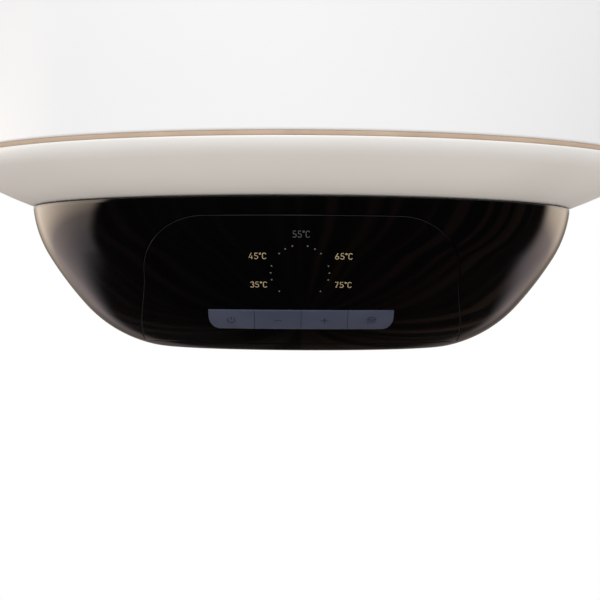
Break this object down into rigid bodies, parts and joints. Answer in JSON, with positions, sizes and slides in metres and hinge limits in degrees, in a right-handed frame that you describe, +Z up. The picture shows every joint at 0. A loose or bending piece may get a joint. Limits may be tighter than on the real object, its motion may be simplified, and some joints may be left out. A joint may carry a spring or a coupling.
{
  "type": "electric storage water heater",
  "caption": "Wall-hung vertical electric storage water heater: white cylindrical jacket, domed lids and a black bowl-shaped control cover with touch keys and a ring of indicator dots.",
  "frame": {"origin": "middle of the wall bracket's wall face", "axes": "+Y into the wall, so the front with the keys looks along -Y; +Z up; +X to the right as seen from the front"},
  "size_m": [0.45, 0.468, 0.8572],
  "materials": {
    "white_enamel": "gloss white enamelled sheet",
    "white_plastic": "satin white plastic",
    "black_gloss": "high-gloss black",
    "black_plastic": "matte",
    "key_plastic": "satin dark blue-grey",
    "seal_foam": "matte tan foam seal",
    "polyurethane": "rigid foam",
    "tank_enamel": "vitreous enamel",
    "zinc_steel": "zinc plated",
    "stainless": "polished",
    "rubber_black": "matte",
    "magnesium": "matte cast",
    "brass": "turned",
    "nickel_plate": "satin nickel",
    "blue_plastic": "matte",
    "red_plastic": "matte",
    "circuit_board": "solder mask",
    "clear_plastic": "clear, frosted",
    "grey_silicone": "matte",
    "cream_plastic": "satin",
    "brown_wire": "satin",
    "blue_wire": "satin",
    "earth_wire": "satin green and yellow",
    "grey_wire": "satin"
  },
  "bodies": {
    "heater": {"wall_bracket": "zinc_steel", "bracket_stud_left": "zinc_steel", "bracket_stud_right": "zinc_steel", "bracket_nut_left": "zinc_steel", "bracket_nut_right": "zinc_steel", "wall_spacer": "black_plastic", "outer_jacket": "white_enamel", "lower_seal_ring": "seal_foam", "upper_seal_ring": "seal_foam", "bottom_lid": "white_plastic", "top_lid": "white_plastic", "tank_barrel": "tank_enamel", "tank_bottom_head": "tank_enamel", "tank_top_head": "tank_enamel", "tank_flange_neck": "tank_enamel", "insulation_foam": "polyurethane", "flange_gasket": "rubber_black", "flange_plate": "zinc_steel", "flange_bolt_1": "zinc_steel", "flange_bolt_2": "zinc_steel", "flange_bolt_3": "zinc_steel", "flange_bolt_4": "zinc_steel", "flange_bolt_5": "zinc_steel", "heating_element": "stainless", "sensor_pocket": "stainless", "anode_rod": "magnesium", "temperature_sensor": "brass", "inlet_nipple": "zinc_steel", "inlet_collar": "blue_plastic", "outlet_nipple": "zinc_steel", "outlet_collar": "red_plastic", "hot_dip_tube": "stainless", "inlet_diffuser": "cream_plastic", "control_cover": "black_gloss", "control_fascia": "black_gloss", "cover_screw_left": "zinc_steel", "cover_screw_right": "zinc_steel", "display_board": "circuit_board", "key_mat": "grey_silicone", "light_guide": "clear_plastic", "electronics_tray": "black_plastic", "power_board": "circuit_board", "terminal_block": "cream_plastic", "thermal_cutout": "cream_plastic", "cable_gland": "black_plastic", "gland_nut": "black_plastic", "live_lead": "brown_wire", "neutral_lead": "blue_wire", "earth_lead": "earth_wire", "display_cable": "grey_wire", "valve_body": "nickel_plate", "valve_bonnet": "black_plastic"},
    "key_power": {"key_power": "key_plastic"},
    "key_minus": {"key_minus": "key_plastic"},
    "key_plus": {"key_plus": "key_plastic"},
    "key_boost": {"key_boost": "key_plastic"},
    "reset_button": {"cutout_reset_button": "red_plastic"},
    "spindle": {"relief_spindle": "brass", "lever_pin": "stainless"},
    "lever": {"relief_lever": "red_plastic"}
  },
  "joints": [
    {"name": "key_power_press", "type": "slide", "parent": "heater", "child": "key_power", "axis": [0, 0.809, 0.5878], "range_m": [0, 0.0008], "stiffness_N_per_m": 700, "springref_m": -0.0006},
    {"name": "key_minus_press", "type": "slide", "parent": "heater", "child": "key_minus", "axis": [0, 0.809, 0.5878], "range_m": [0, 0.0008], "stiffness_N_per_m": 700, "springref_m": -0.0006},
    {"name": "key_plus_press", "type": "slide", "parent": "heater", "child": "key_plus", "axis": [0, 0.809, 0.5878], "range_m": [0, 0.0008], "stiffness_N_per_m": 700, "springref_m": -0.0006},
    {"name": "key_boost_press", "type": "slide", "parent": "heater", "child": "key_boost", "axis": [0, 0.809, 0.5878], "range_m": [0, 0.0008], "stiffness_N_per_m": 700, "springref_m": -0.0006},
    {"name": "reset_button_press", "type": "slide", "parent": "heater", "child": "reset_button", "axis": [0, 0, 1], "range_m": [0, 0.002], "stiffness_N_per_m": 800, "springref_m": -0.001},
    {"name": "relief_lift", "type": "slide", "parent": "heater", "child": "spindle", "axis": [1, 0, 0], "range_m": [0, 0.002], "stiffness_N_per_m": 2000, "springref_m": -0.004},
    {"name": "lever_turn", "type": "hinge", "parent": "spindle", "child": "lever", "pos_m": [0.1065, -0.118, -0.638], "axis": [0, -1, 0], "range_deg": [0, 70]}
  ],
  "couplings": [
    {"joint": "lever_turn", "follows": "relief_lift", "rad_per_m": 610.86}
  ]
}
